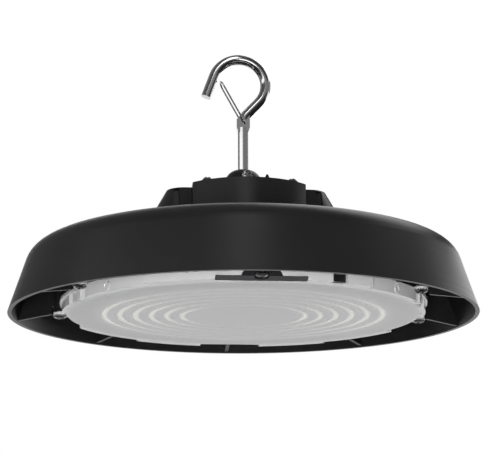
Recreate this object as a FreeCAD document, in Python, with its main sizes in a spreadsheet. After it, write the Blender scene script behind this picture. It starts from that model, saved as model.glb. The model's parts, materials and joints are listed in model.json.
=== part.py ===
import FreeCAD, Part
import math
import os
from types import SimpleNamespace

import Sketcher

# High bay light: a round black casting with a flared skirt, a clear lens dish under it,
# a driver cover with a boss on top and a wire hook with a spring keeper.
# Origin: centre of the rim plane, +Z up, -Y the side with the wide lens notch. Millimetres.

SIZES = {
    # Bell of the casting
    "rim_radius": 175.0,
    "skirt_lean": 15.4,
    "skirt_height": 48.0,
    "skirt_wall": 3.0,
    "shoulder_radius": 18.5,
    "deck_angle": 14.0,
    "deck_end_radius": 84.0,
    "deck_hole_radius": 20.0,
    # Drum that carries the lens and the heat spreader
    "drum_inset": 42.0,
    "drum_wall": 3.5,
    "drum_bottom": 11.2,
    "ledge_width": 7.0,
    "ledge_thickness": 5.0,
    # Ribs between drum and skirt
    "rib_count": 9.0,
    "rib_first_angle": 10.0,
    "rib_thickness": 3.0,
    "rib_bottom": 0.6,
    "rib_toe_bottom": 5.3,
    "rib_toe_gap": 9.5,
    # Tab that keys the lens
    "key_angle": 292.2,
    "key_half_width": 5.4,
    "key_thickness": 4.7,
    "key_bottom": 2.2,
    # Seat of the driver cover
    "seat_rise": 3.15,
    "seat_margin": 3.0,
    # Driver cover: a bar with round ends and two side wings
    "bar_half_width": 41.4,
    "bar_end_radius": 55.5,
    "bar_end_offset": 15.8,
    "cover_rise": 19.1,
    "cover_wall": 4.0,
    "gasket_thickness": 1.0,
    "wing_half_width": 70.2,
    "wing_half_depth": 48.8,
    "wing_corner": 24.0,
    "wing_draft": 29.0,
    "wing_wall": 19.0,
    "flute_width": 4.6,
    "flute_depth": 4.5,
    "flute_offset": 53.0,
    "flute_roof": 1.2,
    # Boss that takes the hook
    "boss_foot_radius": 18.0,
    "boss_neck_radius": 14.6,
    "boss_shoulder_radius": 13.7,
    "boss_top_radius": 6.8,
    "boss_neck_rise": 6.5,
    "boss_rise": 23.6,
    "boss_dome": 7.6,
    "boss_round": 9.5,
    # Fasteners
    "cover_screw_x": 31.0,
    "cover_screw_y": 56.5,
    "cover_screw_radius": 2.0,
    "cover_screw_head": 3.6,
    "cover_screw_length": 30.0,
    "post_radius": 4.2,
    "post_depth": 10.0,
    "pad_height": 0.5,
    "head_height": 2.7,
    "lens_screw_offset": 6.5,
    "lens_screw_radius": 2.4,
    "lens_screw_head": 4.8,
    "lens_screw_length": 14.0,
    "lens_boss_radius": 5.0,
    "screw_clearance": 0.2,
    # Lens dish
    "lens_bottom": 1.0,
    "lens_face": 2.5,
    "lens_corner": 2.5,
    "lens_rim_width": 11.0,
    "lens_rim_top": 8.2,
    "lens_flange_width": 4.0,
    "lens_flange": 2.0,
    "lobe_angle": 33.0,
    "lobe_width": 9.5,
    "shelf_angle": 64.0,
    "shelf_width": 4.0,
    "ear_radius": 5.2,
    "side_lobe_angle": 10.0,
    "side_lobe_half": 8.0,
    "side_lobe_width": 2.4,
    "side_hole_radius": 1.2,
    "low_ear_radius": 7.5,
    "low_ear_top": 6.2,
    "ridge_count": 6.0,
    "ridge_edge": 18.0,
    "ridge_pitch": 11.6,
    "ridge_half_width": 4.3,
    "ridge_height": 3.6,
    "front_notch_half": 31.0,
    "rear_notch_half": 24.5,
    "notch_top": 7.8,
    "slot_top": 3.2,
    "slot_inset": 1.5,
    "clip_half_width": 13.7,
    "clip_top_half_width": 11.2,
    "clip_top": 7.5,
    "clip_bottom": 1.5,
    "clip_recess": 3.4,
    "clip_slope": 1.2,
    "clip_outer_gap": 0.7,
    "clip_strip_top": 2.9,
    "fit_gap": 0.3,
    # Light engine
    "spreader_thickness": 4.0,
    "spreader_bottom": 13.5,
    "pad_thickness": 0.5,
    "board_inset": 15.0,
    "board_thickness": 1.5,
    "chip_size": 3.0,
    "chip_height": 0.7,
    "chips_first_ring": 18.0,
    "chips_added": 4.0,
    "board_screw_inset": 6.0,
    "spreader_screw_inset": 4.0,
    "small_screw_radius": 1.5,
    "small_screw_head": 3.0,
    # Driver
    "tray_length": 130.0,
    "tray_width": 84.0,
    "tray_sheet": 1.5,
    "tray_flange": 12.0,
    "tray_foot": 6.0,
    "circuit_end_gap": 5.0,
    "circuit_side_gap": 7.0,
    "circuit_screw_inset": 7.0,
    "tray_screw_end_inset": 8.0,
    "tray_screw_side_inset": 9.0,
    "terminal_end_gap": 6.0,
    "heat_bar_inset": 5.0,
    "circuit_thickness": 1.6,
    "standoff_height": 6.0,
    "standoff_radius": 3.0,
    "transformer_length": 30.0,
    "transformer_width": 26.0,
    "transformer_height": 24.0,
    "capacitor_radius": 6.5,
    "capacitor_height": 25.0,
    "choke_radius": 9.0,
    "choke_section": 3.2,
    "heat_bar_length": 44.0,
    "heat_bar_thickness": 3.0,
    "transistor_width": 10.0,
    "transistor_thickness": 4.5,
    "transistor_height": 15.0,
    "terminal_length": 18.0,
    "terminal_width": 12.0,
    "terminal_height": 13.0,
    "lead_radius": 1.0,
    # Hook, with heights above the cover's top
    "wire_radius": 4.0,
    "hook_tail": 16.1,
    "hook_bend_radius": 9.0,
    "eye_x": -3.0,
    "eye_rise": 93.1,
    "eye_radius": 20.6,
    "hook_throat_angle": 43.0,
    "hook_tip_angle": 19.8,
    "hook_tip_length": 18.5,
    "flat_half_width": 5.1,
    "flat_half_thickness": 3.2,
    "flat_rise": 54.9,
    "flat_length": 13.0,
    "hook_bore_clearance": 0.08,
    "nut_half_across": 6.5,
    "nut_thickness": 6.5,
    "washer_radius": 8.5,
    "washer_thickness": 1.6,
    # Keeper on the hook
    "latch_wire_radius": 0.7,
    "latch_pivot_x": 1.0,
    "latch_pivot_rise": 61.3,
    "latch_length": 38.6,
    "latch_lean": 28.6,
    "latch_half_width": 5.2,
    "latch_end_radius": 1.6,
    "latch_hole_clearance": 0.08,
    # Lock screw, vent and cable entry
    "lock_drop": 6.7,
    "lock_turn": 7.0,
    "lock_head_radius": 3.9,
    "lock_head_height": 2.8,
    "lock_flat": 12.9,
    "vent_x": 12.7,
    "vent_y": -56.0,
    "vent_radius": 3.3,
    "vent_height": 6.0,
    "gland_rise": 7.2,
    "gland_thread_radius": 5.0,
    "gland_flange_radius": 7.1,
    "gland_flange": 4.0,
    "gland_neck": 8.0,
    "gland_bore_radius": 3.4,
    "gland_nut_radius": 6.8,
    "gland_nut_length": 11.0,
}


class Size:
    """A number that remembers the sheet expression it comes from."""

    def __init__(self, number, text):
        self.number = float(number)
        self.text = text

    def __float__(self):
        return self.number

    def __add__(self, other):
        other = as_size(other)
        return Size(self.number + other.number, f"({self.text} + {other.text})")

    def __sub__(self, other):
        other = as_size(other)
        return Size(self.number - other.number, f"({self.text} - {other.text})")

    def __mul__(self, other):
        other = as_size(other)
        return Size(self.number * other.number, f"({self.text} * {other.text})")

    def __truediv__(self, other):
        other = as_size(other)
        return Size(self.number / other.number, f"({self.text} / {other.text})")

    def __radd__(self, other):
        return as_size(other) + self

    def __rsub__(self, other):
        return as_size(other) - self

    def __rmul__(self, other):
        return as_size(other) * self

    def __rtruediv__(self, other):
        return as_size(other) / self

    def __neg__(self):
        return as_size(0) - self


def as_size(value):
    """Any plain number as a Size."""
    if isinstance(value, Size):
        return value
    text = f"{float(value):.9g}"
    return Size(value, text if value >= 0 else f"(0 - {text[1:]})")


def sine(angle):
    """Sine of an angle in degrees."""
    angle = as_size(angle)
    return Size(math.sin(math.radians(angle.number)), f"sin({angle.text})")


def cosine(angle):
    """Cosine of an angle in degrees."""
    angle = as_size(angle)
    return Size(math.cos(math.radians(angle.number)), f"cos({angle.text})")


def root(value):
    """Square root."""
    value = as_size(value)
    return Size(math.sqrt(value.number), f"sqrt({value.text})")


def hypotenuse_side(slope, side):
    """The other short side of a right triangle."""
    return root(slope * slope - side * side)


doc = FreeCAD.newDocument("HighBayLight")
sheet = doc.addObject("Spreadsheet::Sheet", "Sizes")
for row, (alias, number) in enumerate(SIZES.items(), start=1):
    sheet.set(f"A{row}", str(number))
    sheet.setAlias(f"A{row}", alias)
doc.recompute()
dim = SimpleNamespace(**{name: Size(sheet.get(name), f"Sizes.{name}") for name in SIZES})

NODES = []


def node(item, label):
    """Keep an object as one of the light's pieces."""
    item.Label = label
    NODES.append(item)
    return item


def bind(item, **values):
    """Tie properties of an object to the sheet; a double underscore stands for a dot."""
    for name, value in values.items():
        item.setExpression(name.replace("__", "."), as_size(value).text)
    return item


def put(item, x=0, y=0, z=0):
    """Place an object by sheet values."""
    return bind(item, Placement__Base__x=x, Placement__Base__y=y, Placement__Base__z=z)


def turn(item, axis, angle):
    """Turn an object about an axis through its own origin."""
    for letter, part in zip("xyz", axis):
        item.setExpression(f"Placement.Rotation.Axis.{letter}", as_size(part).text)
    item.setExpression("Placement.Rotation.Angle", as_size(angle).text)
    return item


# Sketch helpers

def new_body(name):
    return doc.addObject("PartDesign::Body", name)


def new_sketch(body, name, plane="XY_Plane", lift=0):
    """A sketch on one of the body's origin planes, lifted along its normal."""
    sketch = body.newObject("Sketcher::SketchObject", name)
    support = next(part for part in body.Origin.OriginFeatures if part.Role == plane)
    sketch.AttachmentSupport = [(support, "")]
    sketch.MapMode = "FlatFace"
    sketch.setExpression("AttachmentOffset.Base.z", as_size(lift).text)
    return sketch


def tie(sketch, kind, *places, value):
    """One dimension of a sketch bound to the sheet."""
    index = sketch.addConstraint(Sketcher.Constraint(kind, *places, float(value)))
    sketch.setExpression(f"Constraints[{index}]", as_size(value).text)


def pin(sketch, edge, end, corner):
    """Hold a point of an edge at its distances from the sketch origin."""
    tie(sketch, "DistanceX", -1, 1, edge, end, value=corner[0])
    tie(sketch, "DistanceY", -1, 1, edge, end, value=corner[1])


def flat(corner):
    return FreeCAD.Vector(float(corner[0]), float(corner[1]), 0)


def arc_between(start, end, radius):
    """The short anticlockwise arc from start to end."""
    chord = end - start
    middle = (start + end) * 0.5
    left = FreeCAD.Vector(-chord.y, chord.x, 0).normalize()
    height = math.sqrt(max(radius ** 2 - (chord.Length / 2) ** 2, 0.0))
    return Part.Arc(start, middle - left * (radius - height), end)


def loop(sketch, corners, arcs=None):
    """Closed outline through corners. An arc radius is positive where it runs anticlockwise."""
    arcs = arcs or {}
    count = len(corners)
    first = sketch.GeometryCount
    ends = []
    for index in range(count):
        start = flat(corners[index])
        end = flat(corners[(index + 1) % count])
        radius = float(arcs.get(index, 0))
        if radius > 0:
            sketch.addGeometry(arc_between(start, end, radius), False)
        elif radius < 0:
            sketch.addGeometry(arc_between(end, start, -radius), False)
        else:
            sketch.addGeometry(Part.LineSegment(start, end), False)
        ends.append((2, 1) if radius < 0 else (1, 2))
    for index in range(count):
        following = (index + 1) % count
        sketch.addConstraint(Sketcher.Constraint(
            "Coincident", first + index, ends[index][1], first + following, ends[following][0]))
        pin(sketch, first + index, ends[index][0], corners[index])
    for index, radius in arcs.items():
        size = as_size(radius)
        tie(sketch, "Radius", first + index, value=size if size.number > 0 else -size)


def ring(sketch, x, y, radius):
    """A full circle."""
    centre = flat((x, y))
    edge = sketch.addGeometry(Part.Circle(centre, FreeCAD.Vector(0, 0, 1), float(radius)), False)
    pin(sketch, edge, 3, (x, y))
    tie(sketch, "Radius", edge, value=radius)


def box_corners(half_x, low_y, high_y, centre=0):
    """Corners of an upright rectangle about x = centre."""
    return [(centre - half_x, low_y), (centre + half_x, low_y),
            (centre + half_x, high_y), (centre - half_x, high_y)]


def revolve(body, sketch, cut=False):
    """Turn a sketch on XZ_Plane about the Z axis."""
    kind = "PartDesign::Groove" if cut else "PartDesign::Revolution"
    feature = body.newObject(kind, "Turn_" + sketch.Name)
    feature.Profile = sketch
    feature.ReferenceAxis = (sketch, ["V_Axis"])
    feature.Angle = 360
    sketch.Visibility = False
    return feature


def pad(body, sketch, length, middle=False, down=False, draft=None):
    """Extrude a sketch."""
    feature = body.newObject("PartDesign::Pad", "Pad_" + sketch.Name)
    feature.Profile = sketch
    bind(feature, Length=length)
    feature.Midplane = middle
    feature.Reversed = down
    if draft is not None:
        bind(feature, TaperAngle=draft)
    sketch.Visibility = False
    return feature


def pocket(body, sketch, depth, up=False, middle=False, draft=None):
    """Cut a sketch away, against its normal unless up is set."""
    feature = body.newObject("PartDesign::Pocket", "Cut_" + sketch.Name)
    feature.Profile = sketch
    bind(feature, Length=depth)
    feature.Midplane = middle
    feature.Reversed = up
    if draft is not None:
        bind(feature, TaperAngle=draft)
    sketch.Visibility = False
    return feature


def repeat(body, features, count):
    """Copies of features round the Z axis, closing the circle."""
    pattern = body.newObject("PartDesign::PolarPattern", "Ring_" + features[0].Name)
    pattern.Originals = features
    axis = next(part for part in body.Origin.OriginFeatures if part.Role == "Z_Axis")
    pattern.Axis = (axis, [""])
    pattern.Angle = 360
    bind(pattern, Occurrences=count)
    body.Tip = pattern
    return pattern


# Primitive helpers

def cylinder(name, radius, height, x=0, y=0, z=0):
    item = doc.addObject("Part::Cylinder", name)
    bind(item, Radius=radius, Height=height)
    return put(item, x, y, z)


def block(name, length, width, height, x=0, y=0, z=0):
    """A box centred on x and y that stands on z."""
    item = doc.addObject("Part::Box", name)
    bind(item, Length=length, Width=width, Height=height)
    return put(item, x - length / 2, y - width / 2, z)


def cone(name, low_radius, high_radius, height, x=0, y=0, z=0):
    item = doc.addObject("Part::Cone", name)
    bind(item, Radius1=low_radius, Radius2=high_radius, Height=height)
    return put(item, x, y, z)


def fuse(name, items):
    item = doc.addObject("Part::MultiFuse", name)
    item.Shapes = items
    return item


def cut(name, base, tool):
    item = doc.addObject("Part::Cut", name)
    item.Base = base
    item.Tool = tool
    return item


def group(name, items):
    """Separate solids that share one name."""
    item = doc.addObject("Part::Compound", name)
    item.Links = items
    return item


def spot(radius, angle):
    """Plan position at a radius and an angle from +X."""
    return radius * cosine(angle), radius * sine(angle)


def pan_screw(name, shank_radius, head_radius, head_height, length, x, y, z):
    """Screw driven upwards: a domed head under z and a plain shank above it."""
    shank = cylinder(name + "_shank", shank_radius, length, x, y, z)
    head = cone(name + "_head", head_radius * 0.72, head_radius, head_height, x, y, z - head_height)
    return fuse(name, [shank, head])


# Shared places

skirt_top_radius = dim.rim_radius - dim.skirt_lean
skirt_run = dim.skirt_lean
skirt_slope = root(skirt_run * skirt_run + dim.skirt_height * dim.skirt_height)
skirt_cos = dim.skirt_height / skirt_slope
skirt_sin = skirt_run / skirt_slope
deck_cos = cosine(dim.deck_angle)
deck_sin = sine(dim.deck_angle)
shoulder_share = dim.shoulder_radius / (1 + skirt_cos * deck_sin + skirt_sin * deck_cos)
shoulder_r = skirt_top_radius - shoulder_share * (skirt_cos + deck_sin)
shoulder_z = dim.skirt_height - shoulder_share * (skirt_sin + deck_cos)


def skirt_tangent(depth):
    """Where the skirt meets the shoulder arc, at a depth below the outside."""
    reach = dim.shoulder_radius - depth
    return shoulder_r + reach * skirt_cos, shoulder_z + reach * skirt_sin


def deck_tangent(depth):
    """Where the shoulder arc meets the deck, at a depth below the outside."""
    reach = dim.shoulder_radius - depth
    return shoulder_r + reach * deck_sin, shoulder_z + reach * deck_cos


def deck_point(radius, depth):
    """A point of the deck at a radius and a depth below its top."""
    start_r, start_z = deck_tangent(depth)
    return radius, start_z + (start_r - radius) * deck_sin / deck_cos


def skirt_point(height, depth):
    """A point of the skirt wall at a height and a depth below the outside."""
    start_r, start_z = skirt_tangent(depth)
    return start_r + (start_z - height) * skirt_sin / skirt_cos, height


drum_radius = dim.rim_radius - dim.drum_inset
drum_outside = drum_radius + dim.drum_wall
rib_toe_radius = drum_outside + dim.rib_toe_gap
key_outside = drum_outside + dim.cover_wall * 0.75
spreader_top = dim.spreader_bottom + dim.spreader_thickness
board_radius = drum_radius - dim.board_inset
lens_inner_face = dim.lens_bottom + dim.lens_face
lens_flange_top = dim.lens_rim_top + dim.lens_flange
lens_flange_radius = drum_radius + dim.lens_flange_width
lens_screw_circle = drum_radius + dim.lens_screw_offset
lobe_radius = drum_radius + dim.lobe_width
low_ear_bottom = dim.low_ear_top - dim.lens_flange
outer_ridge = drum_radius - dim.lens_rim_width - dim.ridge_edge
ridge_radii = [outer_ridge - index * dim.ridge_pitch
               for index in reversed(range(int(dim.ridge_count.number)))]
seat_height = deck_point(dim.deck_end_radius, as_size(0))[1] + dim.seat_rise
cover_bottom = seat_height + dim.gasket_thickness
cover_top = cover_bottom + dim.cover_rise
boss_top = cover_top + dim.boss_rise
lock_height = boss_top - dim.lock_drop
bar_tip = dim.bar_end_offset + dim.bar_end_radius
gland_face = bar_tip - dim.cover_wall / 4
latch_pivot_height = cover_top + dim.latch_pivot_rise
gland_height = cover_bottom + dim.gland_rise
low_ears = [dim.rib_first_angle, 180 - dim.rib_first_angle]
high_ear_seat = lens_flange_top - dim.lens_flange / 2
high_ears = [180 + 3 * dim.rib_first_angle, 360 - 3 * dim.rib_first_angle]
cover_screw_spots = [(side * dim.cover_screw_x, end * dim.cover_screw_y)
                     for side in (-1, 1) for end in (-1, 1)]
low_ear_spots = [spot(lens_screw_circle, angle) for angle in low_ears]
high_ear_spots = [spot(lens_screw_circle, angle) for angle in high_ears]
clip_spots = [(as_size(0), -lens_screw_circle), (as_size(0), lens_screw_circle)]


def bar_outline(sketch, margin):
    """The driver bar in plan: straight sides and round ends."""
    half = dim.bar_half_width + margin
    radius = dim.bar_end_radius + margin
    end = dim.bar_end_offset + hypotenuse_side(radius, half)
    loop(sketch, [(half, -end), (half, end), (-half, end), (-half, -end)],
         arcs={1: radius, 3: radius})


def wing_outline(sketch, margin):
    """The wings in plan: a rectangle with round corners."""
    x = dim.wing_half_width + margin
    y = dim.wing_half_depth + margin
    corner = dim.wing_corner
    loop(sketch,
         [(x - corner, -y), (x, corner - y), (x, y - corner), (x - corner, y),
          (corner - x, y), (-x, y - corner), (-x, corner - y), (corner - x, -y)],
         arcs={0: corner, 2: corner, 4: corner, 6: corner})


def sector(sketch, inner, outer, middle, half_angle):
    """Part of a flat ring between two radii, on both sides of an angle."""
    first = middle - half_angle
    last = middle + half_angle
    loop(sketch, [spot(inner, first), spot(outer, first), spot(outer, last), spot(inner, last)],
         arcs={1: outer, 3: -inner})


def radial_box(sketch, inner, outer, half_width, angle):
    """Rectangle along a radius."""
    along = (cosine(angle), sine(angle))
    corners = [(inner, -half_width), (outer, -half_width), (outer, half_width), (inner, half_width)]
    loop(sketch, [(reach * along[0] - side * along[1], reach * along[1] + side * along[0])
                  for reach, side in corners])


def swing(sketch, angle, reach=0):
    """Turn a sketch on XZ_Plane about the Z axis, at a reach from that axis."""
    sketch.AttachmentOffset = FreeCAD.Placement(
        FreeCAD.Vector(), FreeCAD.Rotation(FreeCAD.Vector(0, 1, 0), angle.number))
    sketch.setExpression("AttachmentOffset.Rotation.Angle", angle.text)
    sketch.setExpression("AttachmentOffset.Base.x", (reach * sine(angle)).text)
    sketch.setExpression("AttachmentOffset.Base.z", (reach * cosine(angle)).text)


# Housing

def make_housing():
    """Bell, drum, ribs, lens bosses and the seat of the driver cover, cast as one."""
    body = new_body("HousingBody")
    bell = new_sketch(body, "Bell", "XZ_Plane")
    wall = dim.skirt_wall
    deck_end = deck_point(dim.deck_end_radius, as_size(0))
    under_end = deck_point(dim.deck_end_radius, wall)
    loop(bell,
         [skirt_point(as_size(0), wall), skirt_point(as_size(0), as_size(0)),
          skirt_tangent(as_size(0)), deck_tangent(as_size(0)), deck_end,
          (dim.deck_hole_radius, deck_end[1]), (dim.deck_hole_radius, under_end[1]), under_end,
          deck_tangent(wall), skirt_tangent(wall)],
         arcs={2: dim.shoulder_radius, 8: wall - dim.shoulder_radius})
    revolve(body, bell)

    drum = new_sketch(body, "Drum", "XZ_Plane")
    inside = drum_radius
    ledge = inside - dim.ledge_width
    top = deck_point(drum_outside, wall / 2)[1]
    loop(drum,
         [(inside, dim.drum_bottom), (drum_outside, dim.drum_bottom), (drum_outside, top),
          (inside, top), (inside, spreader_top + dim.ledge_thickness),
          (ledge, spreader_top + dim.ledge_thickness), (ledge, spreader_top),
          (inside, spreader_top)])
    revolve(body, drum)

    rib = new_sketch(body, "Rib", "XZ_Plane")
    middle = wall / 2
    start = drum_outside - dim.drum_wall / 2
    loop(rib,
         [(start, dim.drum_bottom), (rib_toe_radius, dim.drum_bottom),
          (rib_toe_radius, dim.rib_toe_bottom), skirt_point(dim.rib_bottom, middle),
          skirt_tangent(middle), deck_tangent(middle), deck_point(start, middle)],
         arcs={4: dim.shoulder_radius - middle})
    swing(rib, dim.rib_first_angle)
    one_rib = pad(body, rib, dim.rib_thickness, middle=True)
    repeat(body, [one_rib], dim.rib_count)
    key = new_sketch(body, "LensKey", lift=dim.key_bottom)
    radial_box(key, key_outside - dim.key_thickness, key_outside, dim.key_half_width, dim.key_angle)
    pad(body, key, spreader_top - dim.key_bottom)

    seat_depth = seat_height - under_end[1]
    seat = new_sketch(body, "SeatBar", lift=seat_height)
    bar_outline(seat, dim.seat_margin)
    pad(body, seat, seat_depth, down=True)
    wings = new_sketch(body, "SeatWings", lift=seat_height)
    wing_outline(wings, dim.seat_margin)
    pad(body, wings, seat_depth, down=True)
    opening = new_sketch(body, "OpeningBar", lift=seat_height)
    bar_outline(opening, -dim.cover_wall)
    pocket(body, opening, seat_height - spreader_top)
    side_opening = new_sketch(body, "OpeningWings", lift=seat_height)
    wing_outline(side_opening, -2 * dim.cover_wall)
    pocket(body, side_opening, seat_height - spreader_top)

    posts = new_sketch(body, "CoverPosts", lift=seat_height)
    for x, y in cover_screw_spots:
        ring(posts, x, y, dim.post_radius)
    pad(body, posts, dim.post_depth, down=True)
    holes = new_sketch(body, "CoverScrewHoles", lift=seat_height)
    for x, y in cover_screw_spots:
        ring(holes, x, y, dim.cover_screw_radius + dim.screw_clearance)
    pocket(body, holes, dim.post_depth)

    boss_top_level = deck_point(lens_screw_circle, wall)[1]
    for name, spots, bottom in (("LowBosses", low_ear_spots, dim.low_ear_top),
                                ("HighBosses", high_ear_spots, dim.drum_bottom),
                                ("ClipBosses", clip_spots, lens_flange_top)):
        bosses = new_sketch(body, name, lift=bottom)
        lens_holes = new_sketch(body, name + "Holes", lift=bottom)
        for x, y in spots:
            ring(bosses, x, y, dim.lens_boss_radius)
            ring(lens_holes, x, y, dim.lens_screw_radius + dim.screw_clearance)
        pad(body, bosses, boss_top_level - bottom)
        pocket(body, lens_holes, dim.lens_screw_length, up=True)

    spreader_holes = new_sketch(body, "SpreaderScrewHoles", lift=spreader_top)
    for angle in spreader_screw_angles():
        ring(spreader_holes, *spot(drum_radius - dim.spreader_screw_inset, angle),
             dim.small_screw_radius + dim.screw_clearance)
    pocket(body, spreader_holes, dim.ledge_thickness, up=True)
    return node(body, "housing")


def spreader_screw_angles():
    return [22.5 + 45 * index for index in range(8)]


# Driver cover

def make_driver_cover():
    """Hollow lid with two drafted wings and the boss that takes the hook."""
    body = new_body("CoverBody")
    rise = dim.cover_rise
    bar = new_sketch(body, "CoverBar", lift=cover_bottom)
    bar_outline(bar, as_size(0))
    pad(body, bar, rise)
    wings = new_sketch(body, "CoverWings", lift=cover_bottom)
    wing_outline(wings, as_size(0))
    pad(body, wings, rise, draft=-dim.wing_draft)

    boss = new_sketch(body, "HookBoss", "XZ_Plane")
    sunk = cover_top - dim.cover_wall / 2
    loop(boss,
         [(as_size(0), sunk), (dim.boss_foot_radius, sunk), (dim.boss_foot_radius, cover_top),
          (dim.boss_neck_radius, cover_top + dim.boss_neck_rise),
          (dim.boss_shoulder_radius, boss_top - dim.boss_dome),
          (dim.boss_top_radius, boss_top), (as_size(0), boss_top)],
         arcs={4: dim.boss_round})
    revolve(body, boss)

    raised = new_sketch(body, "ScrewPads", lift=cover_top - dim.cover_wall)
    for x, y in cover_screw_spots:
        ring(raised, x, y, dim.post_radius)
    pad(body, raised, dim.cover_wall + dim.pad_height)

    hollow = new_sketch(body, "HollowBar", lift=cover_bottom)
    bar_outline(hollow, -dim.cover_wall)
    pocket(body, hollow, rise - dim.cover_wall, up=True)
    side_hollow = new_sketch(body, "HollowWings", lift=cover_bottom)
    wing_outline(side_hollow, -dim.wing_wall)
    pocket(body, side_hollow, rise - dim.cover_wall, up=True)

    posts = new_sketch(body, "PostsInside", lift=cover_bottom)
    for x, y in cover_screw_spots:
        ring(posts, x, y, dim.post_radius)
    pad(body, posts, rise - dim.cover_wall / 2)
    holes = new_sketch(body, "CoverHoles", lift=cover_bottom)
    for x, y in cover_screw_spots:
        ring(holes, x, y, dim.cover_screw_radius + dim.screw_clearance)
    pocket(body, holes, rise + dim.pad_height, up=True)

    flutes = new_sketch(body, "Flutes", lift=cover_top - dim.flute_roof)
    top_depth = dim.wing_half_depth - rise * tangent(dim.wing_draft)
    half = dim.flute_width / 2
    floor = top_depth - dim.flute_depth
    outer = dim.wing_half_depth + dim.flute_depth
    for side in (-1, 1):
        centre = side * dim.flute_offset
        loop(flutes, box_corners(half, floor, outer, centre))
        loop(flutes, box_corners(half, -outer, -floor, centre))
    pocket(body, flutes, rise - dim.flute_roof)

    bore = new_sketch(body, "HookBore", lift=boss_top)
    ring(bore, 0, 0, dim.wire_radius + dim.hook_bore_clearance)
    pocket(body, bore, dim.boss_rise + dim.cover_wall)
    lock = new_sketch(body, "LockHole", "XZ_Plane")
    ring(lock, 0, lock_height, dim.lens_screw_radius + dim.hook_bore_clearance)
    swing(lock, dim.lock_turn)
    pocket(body, lock, dim.boss_foot_radius, up=True)
    lock_seat = new_sketch(body, "LockSeat", "XZ_Plane")
    ring(lock_seat, 0, lock_height, dim.lock_head_radius + dim.fit_gap)
    swing(lock_seat, dim.lock_turn, dim.lock_flat)
    pocket(body, lock_seat, dim.boss_foot_radius - dim.lock_flat, up=True)

    gland = new_sketch(body, "GlandHole", "XZ_Plane")
    ring(gland, 0, gland_height, dim.gland_thread_radius + dim.hook_bore_clearance)
    pocket(body, gland, bar_tip)
    gland_seat = new_sketch(body, "GlandSeat", "XZ_Plane", lift=-gland_face)
    ring(gland_seat, 0, gland_height, dim.gland_flange_radius + dim.fit_gap)
    pocket(body, gland_seat, bar_tip - gland_face)
    vent = new_sketch(body, "VentHole", lift=cover_top)
    ring(vent, dim.vent_x, dim.vent_y, dim.vent_radius / 2 + dim.hook_bore_clearance)
    pocket(body, vent, dim.cover_wall)
    return node(body, "driver_cover")


def tangent(angle):
    """Tangent of an angle in degrees."""
    return sine(angle) / cosine(angle)


def make_cover_gasket():
    """Flat gasket between the housing and the cover, open in the middle."""
    body = new_body("CoverGasketBody")
    sheet_bar = new_sketch(body, "GasketBar", lift=seat_height)
    bar_outline(sheet_bar, as_size(0))
    pad(body, sheet_bar, dim.gasket_thickness)
    sheet_wings = new_sketch(body, "GasketWings", lift=seat_height)
    wing_outline(sheet_wings, as_size(0))
    pad(body, sheet_wings, dim.gasket_thickness)
    middle = new_sketch(body, "GasketOpeningBar", lift=seat_height)
    bar_outline(middle, -dim.cover_wall)
    pocket(body, middle, dim.gasket_thickness, up=True)
    sides = new_sketch(body, "GasketOpeningWings", lift=seat_height)
    wing_outline(sides, -2 * dim.cover_wall)
    pocket(body, sides, dim.gasket_thickness, up=True)
    eyes = new_sketch(body, "GasketEyes", lift=seat_height)
    holes = new_sketch(body, "GasketHoles", lift=seat_height)
    for x, y in cover_screw_spots:
        ring(eyes, x, y, dim.post_radius)
        ring(holes, x, y, dim.cover_screw_radius + dim.screw_clearance)
    pad(body, eyes, dim.gasket_thickness)
    pocket(body, holes, dim.gasket_thickness, up=True)
    return node(body, "cover_gasket")


# Lens and what clamps it

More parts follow.
